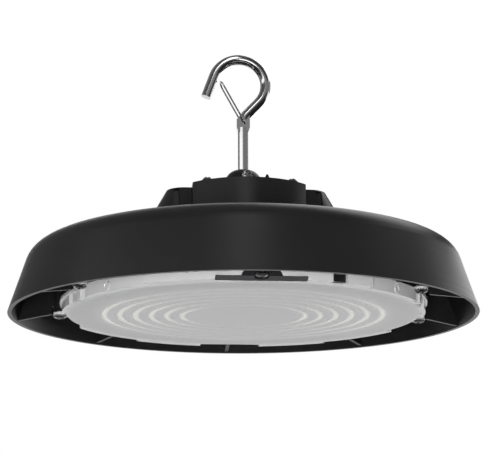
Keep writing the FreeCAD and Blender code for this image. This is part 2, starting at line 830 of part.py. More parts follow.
def make_lens():
    """Clear dish: flat face, thick rim with a flange, lobes and ears, and round ridges inside."""
    body = new_body("LensBody")
    dish = new_sketch(body, "Dish", "XZ_Plane")
    bottom = dim.lens_bottom
    rim_inside = drum_radius - dim.lens_rim_width
    zero = as_size(0)
    loop(dish,
         [(zero, bottom), (drum_radius - dim.lens_corner, bottom),
          (drum_radius, bottom + dim.lens_corner), (drum_radius, dim.lens_rim_top),
          (lens_flange_radius, dim.lens_rim_top), (lens_flange_radius, lens_flange_top),
          (rim_inside, lens_flange_top), (rim_inside, lens_inner_face), (zero, lens_inner_face)],
         arcs={1: dim.lens_corner})
    revolve(body, dish)

    ridges = new_sketch(body, "Ridges", "XZ_Plane")
    half = dim.ridge_half_width
    round_radius = (half * half + dim.ridge_height * dim.ridge_height) / (2 * dim.ridge_height)
    foot = lens_inner_face - dim.lens_face / 8
    for centre in ridge_radii:
        loop(ridges, [(centre - half, foot), (centre + half, foot)], arcs={1: round_radius})
    revolve(body, ridges)

    for name, half_angle, width in (("Shelves", dim.shelf_angle, dim.shelf_width),
                                    ("Lobes", dim.lobe_angle, dim.lobe_width)):
        outline = new_sketch(body, name, lift=bottom)
        for middle in (90, 270):
            sector(outline, drum_radius - dim.lens_corner * 1.6, drum_radius + width, middle, half_angle)
        pad(body, outline, dim.lens_rim_top - bottom)

    lobes = new_sketch(body, "SideLobes", lift=bottom)
    side_holes = new_sketch(body, "SideHoles", lift=bottom)
    for angle in (180 + dim.side_lobe_angle, 360 - dim.side_lobe_angle):
        sector(lobes, drum_radius - dim.lens_corner * 1.6, drum_radius + dim.side_lobe_width,
               angle, dim.side_lobe_half)
        ring(side_holes, *spot(drum_radius - dim.side_hole_radius, angle), dim.side_hole_radius)
    pad(body, lobes, dim.lens_rim_top - bottom)
    pocket(body, side_holes, dim.lens_rim_top - bottom, up=True)

    ears = new_sketch(body, "HighEars", lift=high_ear_seat)
    low = new_sketch(body, "LowEars", lift=low_ear_bottom)
    reliefs = new_sketch(body, "BossReliefs", lift=dim.low_ear_top)
    holes = new_sketch(body, "ScrewHoles", lift=bottom)
    for x, y in high_ear_spots:
        ring(ears, x, y, dim.ear_radius)
    for angle in low_ears:
        ring(low, *spot(lens_screw_circle - dim.low_ear_radius + dim.ear_radius, angle),
             dim.low_ear_radius)
    for x, y in low_ear_spots:
        ring(reliefs, x, y, dim.lens_boss_radius + dim.fit_gap)
    for x, y in low_ear_spots + high_ear_spots + clip_spots:
        ring(holes, x, y, dim.lens_screw_radius + dim.screw_clearance)
    pad(body, ears, dim.drum_bottom - high_ear_seat)
    pad(body, low, dim.lens_flange)
    pocket(body, reliefs, lens_flange_top - dim.low_ear_top, up=True)
    pocket(body, holes, dim.drum_bottom - bottom, up=True)

    outer = lobe_radius + dim.fit_gap
    inner = drum_radius - dim.slot_inset
    slots = new_sketch(body, "ClipSlots", lift=bottom)
    loop(slots, box_corners(dim.front_notch_half, -outer, -inner))
    loop(slots, box_corners(dim.rear_notch_half, inner, outer))
    pocket(body, slots, dim.slot_top - bottom, up=True)
    for name, near in (("FrontNotch", drum_radius), ("RearNotch", -outer)):
        notch = new_sketch(body, name, "XZ_Plane", lift=near)
        clip_outline(notch, dim.fit_gap, bottom)
        pocket(body, notch, outer - drum_radius, up=True)
    high = new_sketch(body, "HighEarReliefs", lift=bottom)
    for x, y in high_ear_spots:
        ring(high, x, y, dim.lens_screw_head + dim.fit_gap)
    pocket(body, high, high_ear_seat - bottom, up=True)
    key = new_sketch(body, "KeyNotch", lift=bottom)
    radial_box(key, key_outside - dim.key_thickness - dim.fit_gap, outer,
               dim.key_half_width + dim.fit_gap, dim.key_angle)
    pocket(body, key, lens_flange_top - bottom, up=True)
    return node(body, "lens")


def clip_outline(sketch, margin, bottom):
    """Front view of a clip's block: upright sides below, slanted sides above."""
    wide = dim.clip_half_width + margin
    narrow = dim.clip_top_half_width + margin
    top = dim.clip_top + margin
    loop(sketch, [(-wide, bottom), (wide, bottom), (wide, dim.slot_top), (narrow, top),
                  (-narrow, top), (-wide, dim.slot_top)])


def make_clip(label, half_width, side):
    """Clamp in a slot of the lens: a thin strip and a block with a recess for its screw head."""
    body = new_body(label.title().replace("_", ""))
    outer = lobe_radius - dim.clip_outer_gap
    block_inner = drum_radius + dim.fit_gap
    strip_inner = block_inner - dim.slot_inset
    strip = new_sketch(body, label + "_strip", lift=dim.clip_bottom)
    near, far = (strip_inner, outer) if side > 0 else (-outer, -strip_inner)
    loop(strip, box_corners(half_width, near, far))
    pad(body, strip, dim.clip_strip_top - dim.clip_bottom)
    block_front = new_sketch(body, label + "_block", "XZ_Plane",
                             lift=-outer if side > 0 else block_inner)
    clip_outline(block_front, 0, dim.clip_bottom)
    pad(body, block_front, outer - block_inner)
    slope = new_sketch(body, label + "_slope", "YZ_Plane")
    loop(slope, [(side * strip_inner, dim.clip_bottom), (side * outer, dim.clip_bottom),
                 (side * outer, dim.clip_bottom + dim.clip_slope)])
    pocket(body, slope, 2 * half_width, middle=True)
    place = side * lens_screw_circle
    hole = new_sketch(body, label + "_hole", lift=dim.clip_bottom)
    ring(hole, 0, place, dim.lens_screw_radius + dim.screw_clearance)
    pocket(body, hole, dim.notch_top, up=True)
    recess = new_sketch(body, label + "_recess", lift=dim.clip_bottom)
    ring(recess, 0, place, dim.lens_screw_head + dim.fit_gap)
    pocket(body, recess, dim.clip_recess, up=True)
    return node(body, label)


def make_lens_screws():
    """Pan head screws under the ears and in the clips."""
    seats = ([(place, low_ear_bottom) for place in low_ear_spots]
             + [(place, high_ear_seat) for place in high_ear_spots]
             + [(place, dim.clip_bottom + dim.clip_recess) for place in clip_spots])
    screws = []
    for index, ((x, y), seat) in enumerate(seats):
        screws.append(pan_screw(f"lens_screw_{index}", dim.lens_screw_radius, dim.lens_screw_head,
                                dim.head_height, dim.lens_screw_length, x, y, seat))
    return node(group("LensScrews", screws), "lens_screws")


def make_disc(name, radius, height, bottom, holes):
    """Flat round plate with round holes given as (x, y, radius)."""
    body = new_body(name.title().replace("_", ""))
    plate = new_sketch(body, name + "_plate", lift=bottom)
    ring(plate, 0, 0, radius)
    for x, y, hole in holes:
        ring(plate, x, y, hole)
    pad(body, plate, height)
    return node(body, name)


def make_tube(name, outer, inner, height, bottom):
    """Flat ring round the Z axis."""
    solid = cylinder(name + "_outer", outer, height, z=bottom)
    hole = cylinder(name + "_inner", inner, height, z=bottom)
    return node(cut(name + "_ring", solid, hole), name)


# Light engine

circuit_length = dim.tray_length - 2 * dim.circuit_end_gap
circuit_width = dim.tray_width - 2 * dim.circuit_side_gap
lead_x = dim.tray_length / 2 - dim.terminal_length / 2 - dim.terminal_end_gap
lead_half = dim.terminal_width / 4
board_bottom = dim.spreader_bottom - dim.pad_thickness - dim.board_thickness
tray_bottom = spreader_top + dim.tray_foot
circuit_bottom = tray_bottom + dim.tray_sheet + dim.standoff_height
circuit_top = circuit_bottom + dim.circuit_thickness
tray_x = dim.tray_length / 2 - dim.tray_screw_end_inset
tray_y = dim.tray_width / 2 - dim.tray_screw_side_inset
tray_spots = [(side * tray_x, end * tray_y) for side in (-1, 1) for end in (-1, 1)]
circuit_x = circuit_length / 2 - dim.circuit_screw_inset
circuit_y = circuit_width / 2 - dim.circuit_screw_inset
circuit_spots = [(side * circuit_x, end * circuit_y) for side in (-1, 1) for end in (-1, 1)]
board_screw_angles = [30 + 60 * index for index in range(6)]
heat_bar_y = circuit_width / 2 - dim.heat_bar_inset
transformer_x = -dim.transformer_length / 2 + 1
transformer_y = 2
bulk_spots = [(-circuit_length / 4 + side * 8 + 4, -circuit_width / 2 + 15) for side in (-1, 1)]
output_can_spot = (circuit_length / 4, dim.capacitor_radius * 2 - 1)
choke_spot = (-circuit_length * 0.35, circuit_width * 0.2)
transistor_y = heat_bar_y - (dim.heat_bar_thickness + dim.transistor_thickness) / 2


def make_light_engine():
    """Spreader, pad, board, chips and their screws, all under the drum."""
    loose = dim.screw_clearance
    lead_holes = [(lead_x, side * lead_half, dim.lead_radius + 2 * loose) for side in (-1, 1)]
    drum_holes = [(*spot(drum_radius - dim.spreader_screw_inset, angle), dim.small_screw_radius + loose)
                  for angle in spreader_screw_angles()]
    tray_holes = [(x, y, dim.small_screw_radius + loose) for x, y in tray_spots]
    board_holes = [(*spot(board_radius - dim.board_screw_inset, angle), dim.small_screw_radius + loose)
                   for angle in board_screw_angles]
    board_holes.append((as_size(0), as_size(0), dim.small_screw_radius + loose))
    make_disc("heat_spreader", drum_radius - dim.fit_gap, dim.spreader_thickness,
              dim.spreader_bottom, lead_holes + drum_holes + tray_holes + board_holes)
    make_disc("thermal_pad", board_radius - 1, dim.pad_thickness,
              dim.spreader_bottom - dim.pad_thickness, lead_holes + board_holes)
    make_disc("led_board", board_radius, dim.board_thickness, board_bottom, board_holes)

    chips = []
    for index, radius in enumerate(ridge_radii):
        count = int(dim.chips_first_ring.number + index * dim.chips_added.number)
        for place in range(count):
            angle = 360 / count * (place + 0.5)
            chip = Part.makeBox(dim.chip_size.number, dim.chip_size.number, dim.chip_height.number)
            chip.translate(FreeCAD.Vector(radius.number - dim.chip_size.number / 2,
                                          -dim.chip_size.number / 2,
                                          board_bottom.number - dim.chip_height.number))
            chip.rotate(FreeCAD.Vector(0, 0, 0), FreeCAD.Vector(0, 0, 1), angle)
            chips.append(chip)
    chip_group = doc.addObject("Part::Feature", "Chips")
    chip_group.Shape = Part.makeCompound(chips)
    node(chip_group, "led_chips")

    depth = dim.board_thickness + dim.pad_thickness + dim.spreader_thickness
    screws = [pan_screw(f"board_screw_{index}", dim.small_screw_radius, dim.small_screw_head,
                        dim.small_screw_radius, depth, x, y, board_bottom)
              for index, (x, y, size) in enumerate(board_holes)]
    node(group("BoardScrews", screws), "led_board_screws")
    length = dim.spreader_thickness + dim.ledge_thickness
    screws = [pan_screw(f"drum_screw_{index}", dim.small_screw_radius, dim.small_screw_head,
                        dim.small_screw_radius, length, x, y, dim.spreader_bottom)
              for index, (x, y, size) in enumerate(drum_holes)]
    node(group("DrumScrews", screws), "heat_spreader_screws")


# Driver

def make_driver():
    """Tray, circuit board and the parts on it, standing on the heat spreader."""
    body = new_body("TrayBody")
    floor = new_sketch(body, "TrayFloor", lift=tray_bottom)
    loop(floor, box_corners(dim.tray_length / 2, -dim.tray_width / 2, dim.tray_width / 2))
    for x, y in tray_spots:
        ring(floor, x, y, dim.small_screw_radius + dim.screw_clearance)
    for x, y in circuit_spots:
        ring(floor, x, y, dim.small_screw_radius + dim.screw_clearance)
    ring(floor, lead_x, 0, dim.terminal_width / 2)
    pad(body, floor, dim.tray_sheet)
    sides = new_sketch(body, "TraySides", lift=tray_bottom)
    edge = dim.tray_width / 2
    loop(sides, box_corners(dim.tray_length / 2, edge - dim.tray_sheet, edge))
    loop(sides, box_corners(dim.tray_length / 2, -edge, dim.tray_sheet - edge))
    pad(body, sides, dim.tray_flange)
    node(body, "driver_tray")

    feet = []
    for index, (x, y) in enumerate(tray_spots):
        foot = cylinder(f"foot_{index}", 2 * dim.standoff_radius, dim.tray_foot, x, y, spreader_top)
        hole = cylinder(f"foot_hole_{index}", dim.small_screw_radius + dim.screw_clearance,
                        dim.tray_foot, x, y, spreader_top)
        feet.append(cut(f"tray_foot_{index}", foot, hole))
    node(group("TrayFeet", feet), "tray_feet")
    posts = []
    for index, (x, y) in enumerate(circuit_spots):
        bottom = tray_bottom + dim.tray_sheet
        post = cylinder(f"post_{index}", dim.standoff_radius, dim.standoff_height, x, y, bottom)
        hole = cylinder(f"post_hole_{index}", dim.small_screw_radius + dim.screw_clearance,
                        dim.standoff_height, x, y, bottom)
        posts.append(cut(f"standoff_{index}", post, hole))
    node(group("Standoffs", posts), "circuit_standoffs")

    circuit = new_body("CircuitBody")
    outline = new_sketch(circuit, "CircuitOutline", lift=circuit_bottom)
    loop(outline, box_corners(circuit_length / 2, -circuit_width / 2, circuit_width / 2))
    for x, y in circuit_spots:
        ring(outline, x, y, dim.small_screw_radius + dim.screw_clearance)
    for side in (-1, 1):
        ring(outline, lead_x, side * lead_half, dim.lead_radius + dim.screw_clearance)
    pad(circuit, outline, dim.circuit_thickness)
    node(circuit, "driver_circuit_board")

    head = dim.small_screw_radius
    screws = []
    for index, (x, y) in enumerate(tray_spots):
        top = tray_bottom + dim.tray_sheet
        screws.append(down_screw(f"tray_screw_{index}", x, y, top, top - spreader_top + 3))
    for index, (x, y) in enumerate(circuit_spots):
        screws.append(down_screw(f"circuit_screw_{index}", x, y, circuit_top,
                                 dim.circuit_thickness + dim.standoff_height + head))
    node(group("DriverScrews", screws), "driver_screws")

    core = block("core", dim.transformer_length, dim.transformer_width / 2, dim.transformer_height,
                 transformer_x, transformer_y, circuit_top)
    coil = block("coil", dim.transformer_length * 0.62, dim.transformer_width,
                 dim.transformer_height * 0.7, transformer_x, transformer_y,
                 circuit_top + dim.transformer_height * 0.15)
    node(fuse("Transformer", [core, coil]), "transformer")

    bulk = [cylinder(f"bulk_{index}", dim.capacitor_radius, dim.capacitor_height, x, y, circuit_top)
            for index, (x, y) in enumerate(bulk_spots)]
    bulk.append(cylinder("output_can", dim.capacitor_radius * 0.8, dim.capacitor_height * 0.8,
                         *output_can_spot, circuit_top))
    node(group("Capacitors", bulk), "capacitors")

    choke = doc.addObject("Part::Torus", "ChokeRing")
    bind(choke, Radius1=dim.choke_radius, Radius2=dim.choke_section)
    put(choke, *choke_spot, circuit_top + dim.choke_radius + dim.choke_section)
    turn(choke, (1, 0, 0), 90)
    node(choke, "mains_choke")

    bar = block("HeatBar", dim.heat_bar_length, dim.heat_bar_thickness, dim.transformer_height,
                dim.heat_bar_length / 4, heat_bar_y, circuit_top)
    node(bar, "driver_heat_bar")
    places = (as_size(0), dim.heat_bar_length / 2)
    chips = [block(f"transistor_{index}", dim.transistor_width, dim.transistor_thickness,
                   dim.transistor_height, x, transistor_y, circuit_top + dim.transistor_thickness)
             for index, x in enumerate(places)]
    node(group("Transistors", chips), "power_transistors")

    for label, x in (("output_terminal", lead_x), ("mains_terminal", -lead_x)):
        shell = block(label + "_shell", dim.terminal_length, dim.terminal_width,
                      dim.terminal_height, x, 0, circuit_top)
        ports = [cylinder(f"{label}_port_{side}", dim.terminal_width / 6, dim.terminal_height / 2,
                          x, side * lead_half, circuit_top + dim.terminal_height / 2)
                 for side in (-1, 1)]
        node(cut(label + "_cut", shell, fuse(label + "_ports", ports)), label)
    lead_bottom = dim.spreader_bottom - dim.pad_thickness
    leads = [cylinder(f"lead_{side}", dim.lead_radius, circuit_top - lead_bottom,
                      lead_x, side * lead_half, lead_bottom)
             for side in (-1, 1)]
    node(group("Leads", leads), "led_leads")


def down_screw(name, x, y, seat, length):
    """Screw driven downwards, its head on the seat."""
    shank = cylinder(name + "_shank", dim.small_screw_radius, length, x, y, seat - length)
    head = cone(name + "_head", dim.small_screw_head, dim.small_screw_head * 0.72,
                dim.small_screw_radius, x, y, seat)
    return fuse(name, [shank, head])


# Hook and keeper

def make_hook():
    """Bent wire with an open eye, pressed flat where the keeper pivots."""
    body = new_body("HookBody")
    bottom = cover_top - dim.hook_tail
    section = new_sketch(body, "HookSection", lift=bottom)
    ring(section, 0, 0, dim.wire_radius)
    path = new_sketch(body, "HookPath", "XZ_Plane")
    throat_sin = sine(dim.hook_throat_angle)
    throat_cos = cosine(dim.hook_throat_angle)
    eye = (dim.eye_x, cover_top + dim.eye_rise)
    throat = (dim.eye_x + dim.eye_radius * throat_cos, eye[1] - dim.eye_radius * throat_sin)
    corner_z = throat[1] - throat[0] * throat_cos / throat_sin
    reach = dim.hook_bend_radius * tangent(dim.hook_throat_angle / 2)
    bend_start = (as_size(0), corner_z - reach)
    bend_end = (reach * throat_sin, corner_z + reach * throat_cos)
    tip_cos = cosine(dim.hook_tip_angle)
    tip_sin = sine(dim.hook_tip_angle)
    tip_top = (dim.eye_x - dim.eye_radius * tip_cos, eye[1] + dim.eye_radius * tip_sin)
    tip_end = (tip_top[0] - dim.hook_tip_length * tip_sin, tip_top[1] - dim.hook_tip_length * tip_cos)
    start = (as_size(0), bottom)
    path.addGeometry(Part.LineSegment(flat(start), flat(bend_start)), False)
    path.addGeometry(arc_between(flat(bend_end), flat(bend_start), dim.hook_bend_radius.number), False)
    path.addGeometry(Part.LineSegment(flat(bend_end), flat(throat)), False)
    circle = Part.Circle(flat(eye), FreeCAD.Vector(0, 0, 1), dim.eye_radius.number)
    path.addGeometry(Part.ArcOfCircle(circle, -math.radians(dim.hook_throat_angle.number),
                                      math.pi - math.radians(dim.hook_tip_angle.number)), False)
    path.addGeometry(Part.LineSegment(flat(tip_top), flat(tip_end)), False)
    for edge, end, corner in ((0, 1, start), (0, 2, bend_start), (2, 1, bend_end), (2, 2, throat),
                              (4, 1, tip_top), (4, 2, tip_end)):
        pin(path, edge, end, corner)
    for first, first_end, second, second_end in ((0, 2, 1, 2), (1, 1, 2, 1), (2, 2, 3, 1), (3, 2, 4, 1)):
        path.addConstraint(Sketcher.Constraint("Coincident", first, first_end, second, second_end))
    tie(path, "Radius", 1, value=dim.hook_bend_radius)
    tie(path, "Radius", 3, value=dim.eye_radius)
    pipe(body, section, path, 5)

    flat_part = new_sketch(body, "PressedFlat", "XZ_Plane")
    wide = dim.flat_half_width
    flat_bottom = cover_top + dim.flat_rise
    flat_top = flat_bottom + dim.flat_length
    quarter = dim.flat_length / 4
    loop(flat_part,
         [(-dim.wire_radius, flat_bottom), (dim.wire_radius, flat_bottom),
          (wide, flat_bottom + quarter), (wide, flat_top), (as_size(0), flat_top),
          (-wide, flat_top - quarter), (-wide, flat_bottom + quarter)])
    pad(body, flat_part, 2 * dim.flat_half_thickness, middle=True)
    trim = new_sketch(body, "PressedSides", "YZ_Plane")
    for side in (-1, 1):
        centre = side * (dim.flat_half_thickness + dim.wire_radius / 2)
        loop(trim, box_corners(dim.wire_radius / 2, flat_bottom + quarter, flat_top - quarter, centre))
    pocket(body, trim, 4 * dim.wire_radius, middle=True)
    pivot = new_sketch(body, "KeeperHole", "XZ_Plane")
    ring(pivot, dim.latch_pivot_x, latch_pivot_height, dim.latch_wire_radius + dim.latch_hole_clearance)
    pocket(body, pivot, 4 * dim.wire_radius, middle=True)
    return node(body, "hook")


def pipe(body, section, path, edges):
    """Carry a section along the edges of a path sketch."""
    feature = body.newObject("PartDesign::AdditivePipe", "Pipe_" + path.Name)
    feature.Profile = section
    feature.Spine = (path, [f"Edge{index + 1}" for index in range(edges)])
    feature.Mode = "Standard"
    section.Visibility = False
    path.Visibility = False
    return feature


def make_latch():
    """Spring wire keeper: two legs, a round closed end and two ends that sit in the cross hole."""
    body = new_body("LatchBody")
    path = new_sketch(body, "LatchPath", "YZ_Plane")
    half = dim.latch_half_width
    bend = dim.latch_end_radius
    tip = dim.latch_length - half
    gap = dim.fit_gap
    zero = as_size(0)
    corners = [(-gap, zero), (bend - half, zero), (-half, bend), (-half, tip),
               (half, tip), (half, bend), (half - bend, zero), (gap, zero)]
    path.addGeometry(Part.LineSegment(flat(corners[0]), flat(corners[1])), False)
    path.addGeometry(arc_between(flat(corners[2]), flat(corners[1]), bend.number), False)
    path.addGeometry(Part.LineSegment(flat(corners[2]), flat(corners[3])), False)
    circle = Part.Circle(flat((zero, tip)), FreeCAD.Vector(0, 0, 1), half.number)
    path.addGeometry(Part.ArcOfCircle(circle, 0, math.pi), False)
    path.addGeometry(Part.LineSegment(flat(corners[4]), flat(corners[5])), False)
    path.addGeometry(arc_between(flat(corners[6]), flat(corners[5]), bend.number), False)
    path.addGeometry(Part.LineSegment(flat(corners[6]), flat(corners[7])), False)
    for edge, end, corner in ((0, 1, 0), (0, 2, 1), (2, 1, 2), (2, 2, 3), (4, 1, 4), (4, 2, 5),
                              (6, 1, 6), (6, 2, 7)):
        pin(path, edge, end, corners[corner])
    joins = ((0, 2, 1, 2), (1, 1, 2, 1), (2, 2, 3, 2), (3, 1, 4, 1), (4, 2, 5, 2), (5, 1, 6, 1))
    for first, first_end, second, second_end in joins:
        path.addConstraint(Sketcher.Constraint("Coincident", first, first_end, second, second_end))
    tie(path, "Radius", 1, value=bend)
    tie(path, "Radius", 5, value=bend)
    section = new_sketch(body, "LatchSection", "XZ_Plane", lift=gap)
    ring(section, 0, 0, dim.latch_wire_radius)
    pipe(body, section, path, 7)
    put(body, dim.latch_pivot_x, 0, latch_pivot_height)
    turn(body, (0, 1, 0), -dim.latch_lean)
    return node(body, "hook_latch")


def hexagon(name, half_across, height, bore, z):
    """Hexagon nut on the Z axis."""
    body = new_body(name.title().replace("_", ""))
    sketch = new_sketch(body, name + "_flats", lift=z)
    corner = half_across * 2 / root(as_size(3))
    loop(sketch, [spot(corner, 60 * index) for index in range(6)])
    ring(sketch, 0, 0, bore)
    pad(body, sketch, height)
    return node(body, name)


def make_fittings():
    """Hook nut and washer, cover gasket and screws, lock screw, vent and cable entry."""
    roof = cover_top - dim.cover_wall
    bore = dim.wire_radius + dim.hook_bore_clearance
    make_tube("hook_washer", dim.washer_radius, bore, dim.washer_thickness, roof - dim.washer_thickness)
    hexagon("hook_nut", dim.nut_half_across, dim.nut_thickness, bore,
            roof - dim.washer_thickness - dim.nut_thickness)

    lock = pan_screw("LockScrew", dim.lens_screw_radius, dim.lock_head_radius, dim.lock_head_height,
                     dim.lock_flat - dim.wire_radius - dim.hook_bore_clearance, 0, 0, 0)
    put(lock, 0, -dim.lock_flat, lock_height)
    turn(lock, (1, 0, 0), -90)
    turned = group("LockScrewTurned", [lock])
    turn(turned, (0, 0, 1), dim.lock_turn)
    node(turned, "hook_lock_screw")

    screws = []
    top = cover_top + dim.pad_height
    for index, (x, y) in enumerate(cover_screw_spots):
        shank = cylinder(f"cover_shank_{index}", dim.cover_screw_radius, dim.cover_screw_length,
                         x, y, top - dim.cover_screw_length)
        cap = cone(f"cover_cap_{index}", dim.cover_screw_head, dim.cover_screw_head / 3,
                   dim.head_height, x, y, top)
        screws.append(fuse(f"cover_screw_{index}", [shank, cap]))
    node(group("CoverScrews", screws), "cover_screws")

    stem = cylinder("vent_stem", dim.vent_radius / 2, dim.cover_wall, dim.vent_x, dim.vent_y, roof)
    cap = cone("vent_cap", dim.vent_radius, dim.vent_radius / 5, dim.vent_height,
               dim.vent_x, dim.vent_y, cover_top)
    node(fuse("VentPlug", [stem, cap]), "vent_plug")
    make_gland()


def make_gland():
    """Cable entry on the rear of the cover, built along +Z and laid along +Y."""
    wall = dim.cover_wall + dim.nut_thickness
    thread = cylinder("gland_thread", dim.gland_thread_radius, wall, z=-wall)
    flange = cylinder("gland_flange_disc", dim.gland_flange_radius, dim.gland_flange)
    neck = cylinder("gland_neck_tube", dim.gland_thread_radius, dim.gland_neck, z=dim.gland_flange)
    passage = cylinder("gland_passage", dim.gland_bore_radius + 1, dim.gland_flange + dim.gland_neck)
    narrow = cylinder("gland_narrow", dim.gland_bore_radius, wall + 1, z=-wall)
    solid = fuse("GlandSolid", [thread, flange, neck])
    hollow = fuse("GlandHollow", [passage, narrow])
    bodies = [(cut("GlandBody", solid, hollow), "gland_body")]

    seal_gap = dim.hook_bore_clearance
    tube = cylinder("seal_tube", dim.gland_bore_radius + 1 - seal_gap, dim.gland_neck, z=dim.gland_flange)
    seal_bore = cylinder("seal_bore", dim.gland_bore_radius, dim.gland_neck, z=dim.gland_flange)
    bodies.append((cut("GlandSeal", tube, seal_bore), "gland_seal"))

    shell = cylinder("nut_shell", dim.gland_nut_radius, dim.gland_nut_length * 0.7,
                     z=dim.gland_flange + dim.fit_gap)
    dome = cone("nut_dome", dim.gland_nut_radius, dim.gland_bore_radius + 1.5,
                dim.gland_nut_length * 0.3, z=dim.gland_flange + dim.fit_gap + dim.gland_nut_length * 0.7)
    room = cylinder("nut_room", dim.gland_thread_radius + seal_gap, dim.gland_neck - dim.fit_gap + seal_gap,
                    z=dim.gland_flange + dim.fit_gap)
    outlet = cylinder("nut_outlet", dim.gland_bore_radius, dim.gland_nut_length + 1, z=dim.gland_flange)
    bodies.append((cut("GlandNut", fuse("NutSolid", [shell, dome]), fuse("NutHollow", [room, outlet])),
                   "gland_nut"))

    ring_outer = cylinder("locknut_ring", dim.gland_flange_radius, dim.cover_wall * 0.75,
                          z=-dim.cover_wall * 1.9)
    ring_inner = cylinder("locknut_bore", dim.gland_thread_radius + seal_gap, dim.cover_wall * 0.75,
                          z=-dim.cover_wall * 1.9)
    bodies.append((cut("GlandLocknut", ring_outer, ring_inner), "gland_locknut"))
    for item, label in bodies:
        put(item, 0, gland_face, gland_height)
        turn(item, (1, 0, 0), -90)
        node(item, label)


make_housing()
make_driver_cover()
make_cover_gasket()
make_lens()
make_clip("lens_clip_front", dim.front_notch_half - dim.fit_gap, -1)
make_clip("lens_clip_rear", dim.rear_notch_half - dim.fit_gap, 1)
make_lens_screws()
make_tube("lens_gasket", lens_screw_circle - dim.lens_boss_radius - dim.fit_gap,
          drum_radius - dim.lens_flange, dim.drum_bottom - lens_flange_top, lens_flange_top)
make_light_engine()
make_driver()
make_hook()
make_latch()
make_fittings()

doc.recompute()
faults = [item.Name for item in doc.Objects if "Invalid" in item.State or "Error" in item.State]
for item in NODES:
    shape = item.Shape
    if shape.isNull() or not shape.isValid() or not shape.Solids:
        faults.append(item.Label)
if faults:
    raise RuntimeError("failed objects: " + ", ".join(faults))

os.makedirs("parts", exist_ok=True)
for item in NODES:
    item.Shape.exportStep(f"parts/{item.Label}.step")
    bounds = item.Shape.BoundBox
    print(f"{item.Label:24s} solids {len(item.Shape.Solids):3d} volume {item.Shape.Volume:10.0f} "
          f"x {bounds.XMin:.1f} {bounds.XMax:.1f} y {bounds.YMin:.1f} {bounds.YMax:.1f} "
          f"z {bounds.ZMin:.1f} {bounds.ZMax:.1f}")
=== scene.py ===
import json
import math
from collections import namedtuple

import bpy
import numpy as np
from mathutils import Matrix, Vector


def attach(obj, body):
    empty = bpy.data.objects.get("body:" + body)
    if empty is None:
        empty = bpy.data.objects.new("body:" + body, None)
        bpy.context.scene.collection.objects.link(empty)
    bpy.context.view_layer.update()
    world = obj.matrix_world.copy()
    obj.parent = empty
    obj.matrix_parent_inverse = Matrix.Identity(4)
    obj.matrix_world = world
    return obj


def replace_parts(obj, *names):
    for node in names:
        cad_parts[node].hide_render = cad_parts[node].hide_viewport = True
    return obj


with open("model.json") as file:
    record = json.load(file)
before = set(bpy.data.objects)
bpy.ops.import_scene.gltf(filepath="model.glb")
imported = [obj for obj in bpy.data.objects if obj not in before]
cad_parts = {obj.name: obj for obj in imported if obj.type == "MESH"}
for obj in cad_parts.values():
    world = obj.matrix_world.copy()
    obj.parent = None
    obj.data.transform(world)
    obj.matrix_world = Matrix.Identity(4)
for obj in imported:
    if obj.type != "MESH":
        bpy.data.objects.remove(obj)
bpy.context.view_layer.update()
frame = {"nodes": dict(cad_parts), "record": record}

nodes = frame["nodes"]
scene = bpy.context.scene
scene.view_settings.view_transform = "Standard"


# Shader helpers

def material(name):
    """Empty node material with a Principled BSDF wired to its output."""
    made = bpy.data.materials.new(name)
    made.use_nodes = True
    tree = made.node_tree
    tree.nodes.clear()
    shader = tree.nodes.new("ShaderNodeBsdfPrincipled")
    output = tree.nodes.new("ShaderNodeOutputMaterial")
    tree.links.new(shader.outputs["BSDF"], output.inputs["Surface"])
    return made, tree, shader


def feed(tree, socket, value):
    """Link a socket to an input, or set a plain value on it."""
    if isinstance(value, bpy.types.NodeSocket):
        tree.links.new(value, socket)
    else:
        socket.default_value = value


def add(tree, kind, inputs=None, **settings):
    """One node with its settings and with its inputs linked or set."""
    made = tree.nodes.new(kind)
    for key, value in settings.items():
        setattr(made, key, value)
    for key, value in (inputs or {}).items():
        feed(tree, made.inputs[key], value)
    return made


def maths(tree, operation, *values):
    """Result of one step of arithmetic on one to three numbers."""
    return add(tree, "ShaderNodeMath", dict(enumerate(values)), operation=operation).outputs[0]


def ramp(tree, value, start, stop, low=0.0, high=1.0, **settings):
    """Number that goes from low to high while a value goes from start to stop, and stays there."""
    inputs = {"Value": value, "From Min": start, "From Max": stop, "To Min": low, "To Max": high}
    return add(tree, "ShaderNodeMapRange", inputs, **settings).outputs[0]


def noise(tree, place, scale, detail):
    """Noise between 0 and 1 at a place."""
    inputs = {"Vector": place, "Scale": scale, "Detail": detail}
    return add(tree, "ShaderNodeTexNoise", inputs).outputs["Fac"]


def own_place(tree):
    """Place on the piece in its own coordinates, in metres."""
    return add(tree, "ShaderNodeTexCoord").outputs["Object"]


def scaled(tree, colour, factor):
    """Colour times a number."""
    inputs = {0: colour, "Scale": factor}
    return add(tree, "ShaderNodeVectorMath", inputs, operation="SCALE").outputs[0]


def blended(tree, share, first, second):
    """Colour between two. The Mix node's sockets 6 and 7 and its output 2 are its colour ones."""
    inputs = {0: share, 6: first, 7: second}
    return add(tree, "ShaderNodeMix", inputs, data_type="RGBA").outputs[2]


def relief(tree, height, strength, **under):
    """Normal of a bump 0.2 mm deep, over another normal where one is given."""
    inputs = {"Height": height, "Strength": strength, "Distance": 0.0002, **under}
    return add(tree, "ShaderNodeBump", inputs).outputs["Normal"]


